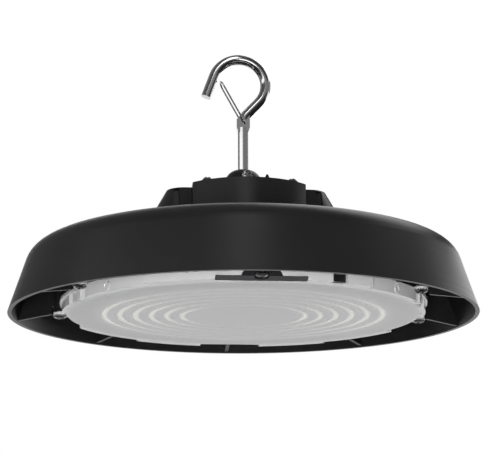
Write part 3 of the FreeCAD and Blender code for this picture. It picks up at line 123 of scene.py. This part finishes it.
def group(name, inputs, outputs):
    """New shader node group with named number or colour sockets."""
    made = bpy.data.node_groups.new(name, "ShaderNodeTree")
    for label, value in inputs.items():
        kind = "NodeSocketColor" if isinstance(value, tuple) else "NodeSocketFloat"
        socket = made.interface.new_socket(label, in_out="INPUT", socket_type=kind)
        socket.default_value = value
    for label in outputs:
        kind = "NodeSocketColor" if label == "Color" else "NodeSocketFloat"
        made.interface.new_socket(label, in_out="OUTPUT", socket_type=kind)
    return made, made.nodes.new("NodeGroupInput").outputs, made.nodes.new("NodeGroupOutput").inputs


def use(tree, shared, **values):
    """Outputs of a shared group placed in a material; underscores in value names stand for spaces."""
    made = add(tree, "ShaderNodeGroup", node_tree=shared)
    for key, value in values.items():
        feed(tree, made.inputs[key.replace("_", " ")], value)
    return made.outputs


# Shared surface effects

def make_surface_grain():
    """Grain: a fine noise as height, and a coarse one, at 3 percent of the fine one's frequency,
    that shifts colour and roughness about their means."""
    coarse_share = 0.03
    shared, take, give = group(
        "surface_grain",
        {"Base": (0.5, 0.5, 0.5, 1), "Size": 900.0, "Spread": 0.2, "Roughness": 0.5,
         "Roughness Spread": 0.1},
        ("Color", "Roughness", "Height"))
    place = own_place(shared)
    fine = noise(shared, place, take["Size"], 2.0)
    coarse = noise(shared, place, maths(shared, "MULTIPLY", take["Size"], coarse_share), 4.0)
    shift = maths(shared, "SUBTRACT", coarse, 0.5)
    tone = maths(shared, "MULTIPLY_ADD", shift, take["Spread"], 1.0)
    rough = maths(shared, "MULTIPLY_ADD", shift, take["Roughness Spread"], take["Roughness"])
    feed(shared, give["Color"], scaled(shared, take["Base"], tone))
    feed(shared, give["Roughness"], rough)
    feed(shared, give["Height"], fine)
    return shared


def make_settled_dust():
    """Dust: its share grows as the surface turns to face up, and a noise breaks it up."""
    shared, take, give = group(
        "settled_dust", {"Color": (0.5, 0.5, 0.5, 1), "Dust": (0.4, 0.4, 0.4, 1), "Amount": 0.2},
        ("Color",))
    normal = add(shared, "ShaderNodeNewGeometry").outputs["Normal"]
    upward = add(shared, "ShaderNodeSeparateXYZ", {0: normal}).outputs["Z"]
    steep, level = 0.55, 1.0
    facing = ramp(shared, upward, steep, level)
    patch = noise(shared, own_place(shared), 60.0, 5.0)
    broken = ramp(shared, patch, 0.3, 0.7, 0.6, 1.0)
    share = maths(shared, "MULTIPLY", maths(shared, "MULTIPLY", facing, broken), take["Amount"])
    feed(shared, give["Color"], blended(shared, share, take["Color"], take["Dust"]))
    return shared


def make_turning_marks():
    """Faint level lines round the Z axis: a noise squeezed along Z, as height and as roughness."""
    shared, take, give = group(
        "turning_marks", {"Pitch": 900.0, "Roughness": 0.5, "Spread": 0.1}, ("Height", "Roughness"))
    parts = add(shared, "ShaderNodeSeparateXYZ", {0: own_place(shared)}).outputs
    level = maths(shared, "MULTIPLY", parts["Z"], take["Pitch"])
    squeezed = add(shared, "ShaderNodeCombineXYZ", {"X": parts["X"], "Y": parts["Y"], "Z": level})
    lines = noise(shared, squeezed.outputs[0], 1.6, 3.0)
    shift = maths(shared, "SUBTRACT", lines, 0.5)
    feed(shared, give["Height"], lines)
    feed(shared, give["Roughness"],
         maths(shared, "MULTIPLY_ADD", shift, take["Spread"], take["Roughness"]))
    return shared


def make_dish_painted_light():
    """Painted light on a moulded dish: its ring crests are painted as evenly spaced pale glints inside
    a radius, the crests of a cosine, strongest towards both sides (the share of the radius that lies
    along X, to the fourth power).
    Outside the rings the dish is a little deeper in colour, and its upright wall is painted
    paler, a painted lift over the shade that the skirt's rim casts on it."""
    ring_end, outer_band_from, wall_from = (-0.007, -0.003), (-0.012, -0.003), (-0.03, -0.024)
    bare_middle, weakest_glint = 0.036, 0.16
    # 1.85 is the painted lift of the upright wall, over the shade from the skirt's rim.
    outer_band_tone, wall_painted_lift = 0.76, 1.85
    # The second input colour is the colour of the painted glints on the ring crests.
    shared, take, give = group(
        "dish_painted_light",
        {"Color": (0.9, 0.9, 0.9, 1), "Ring": (0.9, 0.85, 0.75, 1), "Outer": 0.104,
         "Pitch": 0.0116, "Inner": 0.046},
        ("Color",))
    place = own_place(shared)
    flat = add(shared, "ShaderNodeVectorMath", {0: place, 1: (1.0, 1.0, 0.0)}, operation="MULTIPLY")
    radius = add(shared, "ShaderNodeVectorMath", {0: flat.outputs[0]},
                 operation="LENGTH").outputs["Value"]
    inward = maths(shared, "SUBTRACT", take["Outer"], radius)

    # Painted glints: the crests of a cosine across the rings are painted pale.
    turns = maths(shared, "DIVIDE", inward, take["Pitch"])
    wave = maths(shared, "COSINE", maths(shared, "MULTIPLY", turns, 2 * math.pi))
    glint_line = ramp(shared, wave, 0.0, 1.0, interpolation_type="SMOOTHSTEP")
    # The painted glints are strongest at both sides, where the radius lies along X.
    across = add(shared, "ShaderNodeSeparateXYZ", {0: place}).outputs["X"]
    side_share = maths(shared, "ABSOLUTE", maths(shared, "DIVIDE", across, radius))
    side = ramp(shared, maths(shared, "POWER", side_share, 4.0), 0.0, 1.0, weakest_glint, 1.0)
    within = ramp(shared, inward, *ring_end)
    beyond_middle = ramp(shared, radius, bare_middle, take["Inner"])
    glint_mask = glint_line
    for factor in (within, beyond_middle, side):
        glint_mask = maths(shared, "MULTIPLY", glint_mask, factor)

    # A little darker from 3 to 12 mm outside the outermost ring.
    outer_band = ramp(shared, inward, *outer_band_from, outer_band_tone, 1.0)
    # Painted light: the upright wall is made paler, over the shade that the skirt's rim casts on it.
    wall = ramp(shared, inward, *wall_from, wall_painted_lift, 1.0)
    tone = scaled(shared, take["Color"], maths(shared, "MULTIPLY", outer_band, wall))
    feed(shared, give["Color"], blended(shared, glint_mask, tone, take["Ring"]))
    return shared


surface_grain = make_surface_grain()
settled_dust = make_settled_dust()
turning_marks = make_turning_marks()
# Painted light on the lens dish: glints on the rings and a lifted wall.
dish_painted_light = make_dish_painted_light()


# Finishes

Grained = namedtuple("Grained", "made tree shader grain")


def grained(name, colour, roughness, size, spread=0.2, roughness_spread=0.1, bump=0.1,
            metallic=0.0, dust=0.0, **sockets):
    """Material with fine grain, uneven colour and roughness, and optional dust on top."""
    made, tree, shader = material(name)
    grain = use(tree, surface_grain, Base=(*colour, 1), Size=size, Spread=spread,
                Roughness=roughness, Roughness_Spread=roughness_spread)
    base = grain["Color"]
    if dust:
        base = use(tree, settled_dust, Color=base, Amount=dust)["Color"]
    feed(tree, shader.inputs["Base Color"], base)
    feed(tree, shader.inputs["Roughness"], grain["Roughness"])
    feed(tree, shader.inputs["Normal"], relief(tree, grain["Height"], bump))
    shader.inputs["Metallic"].default_value = metallic
    for label, value in sockets.items():
        shader.inputs[label.replace("_", " ")].default_value = value
    return Grained(made, tree, shader, grain)


def black_casting():
    """Semi-matte black coat over a casting: fine grain, level turning marks and a little dust."""
    roughness = 0.37
    made, tree, shader, grain = grained("black_casting", (0.006, 0.006, 0.0063), roughness, 1500.0,
                                        dust=0.03, spread=0.25, Specular_IOR_Level=0.46)
    marks = use(tree, turning_marks, Roughness=roughness, Spread=0.16)
    feed(tree, shader.inputs["Roughness"], marks["Roughness"])
    turned = relief(tree, marks["Height"], 0.12)
    feed(tree, shader.inputs["Normal"], relief(tree, grain["Height"], 0.2, Normal=turned))
    return made


def clear_dish():
    """Satin moulded plastic: about half of the light passes, softened, and the rest is scattered."""
    made, tree, shader, grain = grained("clear_dish", (0.43, 0.43, 0.435), 0.14, 90.0, spread=0.05,
                                        bump=0.06, Transmission_Weight=0.5, IOR=1.46)
    # The dish's colour carries painted light: pale glints on the ring crests and a painted lift on the
    # upright wall.
    rings = use(tree, dish_painted_light, Color=grain["Color"], Ring=(0.95, 0.93, 0.87, 1))
    feed(tree, shader.inputs["Base Color"], rings["Color"])
    return made


def chrome():
    """Bright plating with almost no grain."""
    return grained("chrome", (0.78, 0.78, 0.79), 0.12, 60.0, spread=0.05, roughness_spread=0.05,
                   bump=0.02, metallic=1.0).made


def dark_plastic():
    """Near black moulded plastic with a dull skin."""
    return grained("dark_plastic", (0.01, 0.01, 0.011), 0.4, 1800.0, bump=0.15,
                   Specular_IOR_Level=0.1).made


finishes = {
    "black_casting": black_casting(),
    "clear_dish": clear_dish(),
    "chrome": chrome(),
    "dark_plastic": dark_plastic(),
}

# Colour, roughness and grain size of the simpler finishes, and what else they change.
simple_finishes = {
    "black_rubber": ((0.02, 0.02, 0.02), 0.75, 500.0, {}),
    "steel": ((0.5, 0.5, 0.5), 0.28, 2500.0, {"metallic": 1.0}),
    "dark_screw": ((0.06, 0.06, 0.06), 0.4, 2500.0, {"metallic": 0.6}),
    "bare_aluminium": ((0.62, 0.63, 0.64), 0.38, 700.0, {"metallic": 1.0}),
    "thermal_pad": ((0.5, 0.51, 0.54), 0.8, 600.0, {}),
    "white_board": ((0.86, 0.87, 0.88), 0.35, 400.0, {"spread": 0.04}),
    "phosphor": ((0.9, 0.68, 0.2), 0.45, 3000.0, {"spread": 0.1}),
    "green_board": ((0.02, 0.16, 0.06), 0.35, 300.0, {}),
    "transformer": ((0.6, 0.45, 0.06), 0.4, 500.0, {}),
    "capacitor_sleeve": ((0.015, 0.02, 0.08), 0.25, 800.0, {}),
    "ferrite": ((0.03, 0.09, 0.06), 0.5, 900.0, {}),
    "terminal_plastic": ((0.06, 0.16, 0.33), 0.4, 900.0, {}),
    "lead_insulation": ((0.45, 0.03, 0.02), 0.35, 900.0, {}),
}
for name, (colour, roughness, size, changes) in simple_finishes.items():
    finishes[name] = grained(name, colour, roughness, size, **changes).made

for part in frame["record"]["subparts"]:
    mesh = nodes[part["node"]].data
    mesh.materials.clear()
    mesh.materials.append(finishes[part["material_slot"]])


# Mesh helpers

def mm(*values):
    """Millimetres as metres."""
    return np.array(values) / 1000


def around(radius, angle, height):
    """Place at a radius in millimetres, an angle in degrees and a height in millimetres."""
    turn = math.radians(angle)
    return mm(radius * math.cos(turn), radius * math.sin(turn), height)


def ring_faces(rows, columns):
    """Corner numbers of the fans from a first and a last single point to the nearest of some
    stacked closed rings, and of the quads between the rings."""
    row, column = np.meshgrid(np.arange(rows - 1), np.arange(columns), indexing="ij")
    here = 1 + row * columns + column
    side = 1 + row * columns + (column + 1) % columns
    quads = np.stack((here, side, side + columns, here + columns), -1).reshape(-1, 4)
    turn = np.arange(columns)
    after = (turn + 1) % columns
    last = 1 + (rows - 1) * columns
    first_fan = np.stack((np.zeros_like(turn), 1 + after, 1 + turn), -1)
    last_fan = np.stack((np.full_like(turn, last + columns), last + turn, last + after), -1)
    return np.concatenate((first_fan, last_fan)), quads


def piece(name, surfaces, slot_name, body="fixture"):
    """Smooth-shaded mesh of several surfaces, in the finish of a slot, riding on a body.

    A surface is its points and the corner numbers of its fans and quads, which are counted on
    from one surface to the next."""
    faces, start = [], 0
    for points, (fans, quads) in surfaces:
        faces += (fans + start).tolist() + (quads + start).tolist()
        start += len(points)
    mesh = bpy.data.meshes.new(name)
    mesh.from_pydata(np.concatenate([points for points, _ in surfaces]).tolist(), [], faces)
    mesh.polygons.foreach_set("use_smooth", np.ones(len(faces), bool))
    mesh.materials.append(finishes[slot_name])
    made = bpy.data.objects.new(name, mesh)
    scene.collection.objects.link(made)
    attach(made, body)
    return made


def placed(surface, place, axis, spin=0.0):
    """Surface with its +Z turned to an axis, spun about it by degrees, and moved to a place."""
    points, faces = surface
    turn = Vector((0, 0, 1)).rotation_difference(Vector(axis)).to_matrix()
    turn = turn @ Matrix.Rotation(math.radians(spin), 3, "Z")
    return points @ np.array(turn).T + np.array(place), faces


# Screws with a driven recess

def screw_surface(head_radius, dome, rim, shank_radius, shank_length, cross, columns=72):
    """Screw with its head towards +Z and the seat at zero, from sizes in millimetres.

    The head's height at a share s of its radius is rim + dome (1 - s^2.4), less a cross-shaped
    recess. Each arm of the cross is two fifths of the head's radius wide and stops at 0.72 of
    it, and its sides and ends fall off over a sixth of its width. Rings go from the middle of
    the head over its edge, under it and along the shank, with a falling angle, so that the faces
    point outward."""
    angle = -np.arange(columns) / columns * 2 * np.pi
    middle_rings, edge_rings = np.linspace(0.05, 0.8, 22), np.linspace(0.84, 1.0, 5)
    share = np.concatenate((middle_rings, edge_rings))[:, None]
    reach = share * head_radius
    x, y = reach * np.cos(angle), reach * np.sin(angle)
    half = head_radius * 0.2
    ease = half / 3

    def arm(along, across):
        """One where a point lies in an arm, with soft sides and ends."""
        side = np.clip((half - np.abs(across)) / ease + 0.5, 0, 1)
        stop = np.clip((head_radius * 0.72 - np.abs(along)) / ease + 0.5, 0, 1)
        return side * stop

    height = rim + dome * (1 - share ** 2.4) - cross * np.maximum(arm(x, y), arm(y, x))
    rows = [np.stack((x, y, height), -1)]
    for radius, level in ((head_radius, 0.0), (shank_radius, 0.0), (shank_radius, -shank_length)):
        edge = (radius * np.cos(angle), radius * np.sin(angle), np.full(columns, level))
        rows.append(np.stack(edge, -1)[None])
    rows = np.concatenate(rows)
    top, end = [[0, 0, rim + dome - cross]], [[0, 0, -shank_length]]
    points = np.concatenate((top, rows.reshape(-1, 3), end))
    return points / 1000, ring_faces(len(rows), columns)


def lens_screw_heads():
    """Six screws that point up from below, on the lens's four ears and the two clips.

    Each is given by its angle round the lens and the height of its seat."""
    circle = 139.5
    seats = [(10, 4.2), (170, 4.2), (210, 9.2), (330, 9.2), (270, 4.9), (90, 4.9)]
    screw = screw_surface(head_radius=4.8, dome=1.7, rim=1.0, shank_radius=2.4, shank_length=13.9,
                          cross=1.5)
    screws = [placed(screw, around(circle, angle, seat), (0, 0, -1), 20 * step)
              for step, (angle, seat) in enumerate(seats)]
    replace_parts(piece("lens_screw_heads", screws, "steel"), "lens_screws")


def cover_screw_heads():
    """Four screws that point down through the corners of the driver cover."""
    reach_x, reach_y, seat = 31.0, 56.5, 90.6
    corners = [(x, y) for x in (-reach_x, reach_x) for y in (-reach_y, reach_y)]
    screw = screw_surface(head_radius=3.6, dome=2.2, rim=0.5, shank_radius=2.0, shank_length=29.9,
                          cross=0.6)
    screws = [placed(screw, mm(x, y, seat), (0, 0, 1), x + y) for x, y in corners]
    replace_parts(piece("cover_screw_heads", screws, "dark_screw"), "cover_screws")


def lock_screw_head():
    """Screw that locks the hook, level in the boss's front and turned a little to the right."""
    front, aside, seat_radius, height, spin = -90, 7, 12.9, 107.0, 20
    outward = around(1000, front + aside, 0)
    seat = around(seat_radius, front + aside, height)
    screw = screw_surface(head_radius=3.9, dome=0.9, rim=1.9, shank_radius=2.4, shank_length=8.7,
                          cross=1.1)
    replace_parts(piece("lock_screw_head", [placed(screw, seat, outward, spin)], "steel"),
                "hook_lock_screw")


# Loops on the lens

def tube_surface(path, radius, columns=12):
    """Round tube along a flat path in the XY plane: at each point a circle in the plane across
    the path's direction, closed at both ends."""
    along = np.gradient(path, axis=0)
    along /= np.linalg.norm(along, axis=1)[:, None]
    across = np.cross(along, (0.0, 0.0, 1.0))
    across /= np.linalg.norm(across, axis=1)[:, None]
    upward = np.cross(along, across)
    angle = (np.arange(columns) / columns * 2 * np.pi)[None, :, None]
    rows = path[:, None] + radius * (np.cos(angle) * across[:, None] + np.sin(angle) * upward[:, None])
    points = np.concatenate((path[:1], rows.reshape(-1, 3), path[-1:]))
    return points, ring_faces(len(path), columns)


def lens_loop(angle):
    """Keyhole-shaped rib, laid on the lens's upright wall at an angle: most of a circle that
    starts and ends beside its top, and two straight legs of a short stem above it."""
    circle_radius, leg_x, leg_heights, rib_radius = 2.6, 0.5, (3.1, 4.0, 4.8), 0.7
    wall_radius, height = 137.1, 4.6
    turn = np.radians(np.linspace(100, 440, 40))
    ring = np.stack((circle_radius * np.cos(turn), circle_radius * np.sin(turn), 0 * turn), -1)
    leg = np.array([[leg_x, level, 0.0] for level in leg_heights])
    other_leg = leg[::-1] * (-1, 1, 1)
    points, faces = tube_surface(np.concatenate((other_leg, ring, leg)) / 1000, rib_radius / 1000)
    upright = Matrix.Rotation(math.radians(90), 3, "X")
    facing = Matrix.Rotation(math.radians(angle + 90), 3, "Z")
    return points @ np.array(facing @ upright).T + around(wall_radius, angle, height), faces


def lens_loops():
    """The loops near the front ears, left and right."""
    piece("lens_loops", [lens_loop(222), lens_loop(316)], "clear_dish")


lens_screw_heads()
cover_screw_heads()
lock_screw_head()
lens_loops()


# Stage

def stage_sheet(name, corners, faces, made):
    """Sheet of the stage, which isn't part of the object."""
    mesh = bpy.data.meshes.new(name)
    mesh.from_pydata(corners, [], faces)
    mesh.materials.append(made)
    item = bpy.data.objects.new(name, mesh)
    scene.collection.objects.link(item)


def level_sheet(name, reach, height, made):
    """Square level sheet centred on the object's axis."""
    corners = [(-reach, -reach, height), (reach, -reach, height),
               (reach, reach, height), (-reach, reach, height)]
    stage_sheet(name, corners, [(0, 1, 2, 3)], made)


def card_face(name, level):
    """Evenly bright face of a card that shapes the reflections alone: only glossy rays see it."""
    made, tree, shader = material(name)
    shader.inputs["Base Color"].default_value = (0, 0, 0, 1)
    shader.inputs["Specular IOR Level"].default_value = 0.0
    shader.inputs["Emission Color"].default_value = (level, level, level, 1)
    shader.inputs["Emission Strength"].default_value = 1.0
    glossy = add(tree, "ShaderNodeLightPath").outputs["Is Glossy Ray"]
    clear = add(tree, "ShaderNodeBsdfTransparent").outputs["BSDF"]
    seen = add(tree, "ShaderNodeMixShader", {0: glossy, 1: clear, 2: shader.outputs["BSDF"]})
    feed(tree, tree.nodes["Material Output"].inputs["Surface"], seen.outputs[0])
    return made


def card(name, azimuths, elevations, level, distance=3.0):
    """Upright curved card round the object, between two azimuths and two elevations in degrees,
    with a corner about every 5 degrees."""
    corner_spacing = 5
    start, stop = azimuths
    steps = int((stop - start) / corner_spacing)
    turn = np.radians(np.linspace(start, stop, steps))
    x, y = distance * np.cos(turn), distance * np.sin(turn)
    rows = [np.column_stack((x, y, np.full(steps, distance * math.tan(math.radians(edge)))))
            for edge in elevations]
    faces = [(index, index + 1, steps + index + 1, steps + index) for index in range(steps - 1)]
    stage_sheet(name, np.concatenate(rows).tolist(), faces, card_face(name, level))


floor_paint = grained("floor_paint", (0.8, 0.8, 0.8), 0.9, 8.0, spread=0.02, roughness_spread=0.05,
                      bump=0.0).made
level_sheet("floor", reach=80, height=-2.4, made=floor_paint)

# These two dim what the top and the underside mirror.
level_sheet("ceiling", reach=5, height=5.4, made=card_face("ceiling", 0.12))
level_sheet("shade_below", reach=2.2, height=-2.3, made=card_face("shade_below", 0.01))

below, tall, near = (-38, -6), (-6, 62), (22, 37)
near_distance = 0.6

# Low cards darken the inside of the skirt. The camera is at azimuth 265.
card("card_low_left", (125, 195), below, 0.01)
card("card_low_front", (195, 345), below, 0.02)
card("card_low_right", (345, 415), below, 0.01)

# Tall cards give the skirt its lighter middle and its pale right end.
card("card_far_left", (110, 184), tall, 0.2)
card("card_left", (184, 257), tall, 0.09)
card("card_centre", (257, 275), tall, 2.6)
card("card_right", (275, 352), tall, 0.04)
card("card_far_right", (382, 440), tall, 1.7)

# Near cards, close round the hook, give its wire the light and dark lines.
card("card_hook_left", (185, 256), (22, 30), 1.3, near_distance)
card("card_hook_front", (256, 290), near, 0.25, near_distance)
card("card_hook_right", (290, 375), near, 0.2, near_distance)
card("card_hook_edge", (20, 62), near, 0.1, near_distance)


# Light

def white_world():
    """Even white surroundings, which are the background too."""
    world = bpy.data.worlds.new("studio")
    scene.world = world
    world.use_nodes = True
    tree = world.node_tree
    tree.nodes.clear()
    white = add(tree, "ShaderNodeBackground", {"Color": (1, 1, 1, 1), "Strength": 1.0})
    add(tree, "ShaderNodeOutputWorld", {"Surface": white.outputs[0]})


def soft_lamp(name, place, target, size, power, spread=180):
    """Square lamp aimed at a point, which leaves no highlight of its own."""
    lamp = bpy.data.lights.new(name, "AREA")
    lamp.shape = "SQUARE"
    lamp.size = size
    lamp.energy = power
    lamp.spread = math.radians(spread)
    item = bpy.data.objects.new(name, lamp)
    item.location = place
    item.rotation_euler = (Vector(target) - Vector(place)).to_track_quat("-Z", "Y").to_euler()
    item.visible_glossy = False
    scene.collection.objects.link(item)


white_world()
soft_lamp("top_left", (-1.4, -0.6, 2.2), (0, 0, 0.05), size=0.8, power=5)
soft_lamp("low_front", (-0.3, -1.7, -0.45), (0, 0, 0), size=0.5, power=4, spread=50)


# Camera

def photo_camera():
    """Camera fitted to the photograph.

    It looks up at the rise from below the rim plane, a little aside (swing) and out of level
    (tilt), and the whole view is turned about Z, because the object stands turned."""
    turn, rise, swing, tilt = (math.radians(angle) for angle in (5.0, 13.493, 0.085, -0.206))
    distance, drop = 1.1198, 0.1999
    photo_width, focal_pixels, sensor_width = 491, 1516.3, 36.0
    about_z = Matrix.Rotation(-turn, 3, "Z")

    forward = about_z @ Vector((math.sin(swing) * math.cos(rise), math.cos(swing) * math.cos(rise),
                                math.sin(rise)))
    level_right = about_z @ Vector((math.cos(swing), -math.sin(swing), 0.0))
    level_up = level_right.cross(forward)
    right = math.cos(tilt) * level_right + math.sin(tilt) * level_up
    up = -math.sin(tilt) * level_right + math.cos(tilt) * level_up

    lens = bpy.data.cameras.new("camera")
    lens.sensor_width = sensor_width
    lens.lens = focal_pixels / photo_width * sensor_width
    item = bpy.data.objects.new("camera", lens)
    axes = Matrix((right, up, -forward)).transposed()
    item.matrix_world = Matrix.Translation(about_z @ Vector((0.0, -distance, -drop))) @ axes.to_4x4()
    scene.collection.objects.link(item)
    return item


scene.camera = photo_camera()
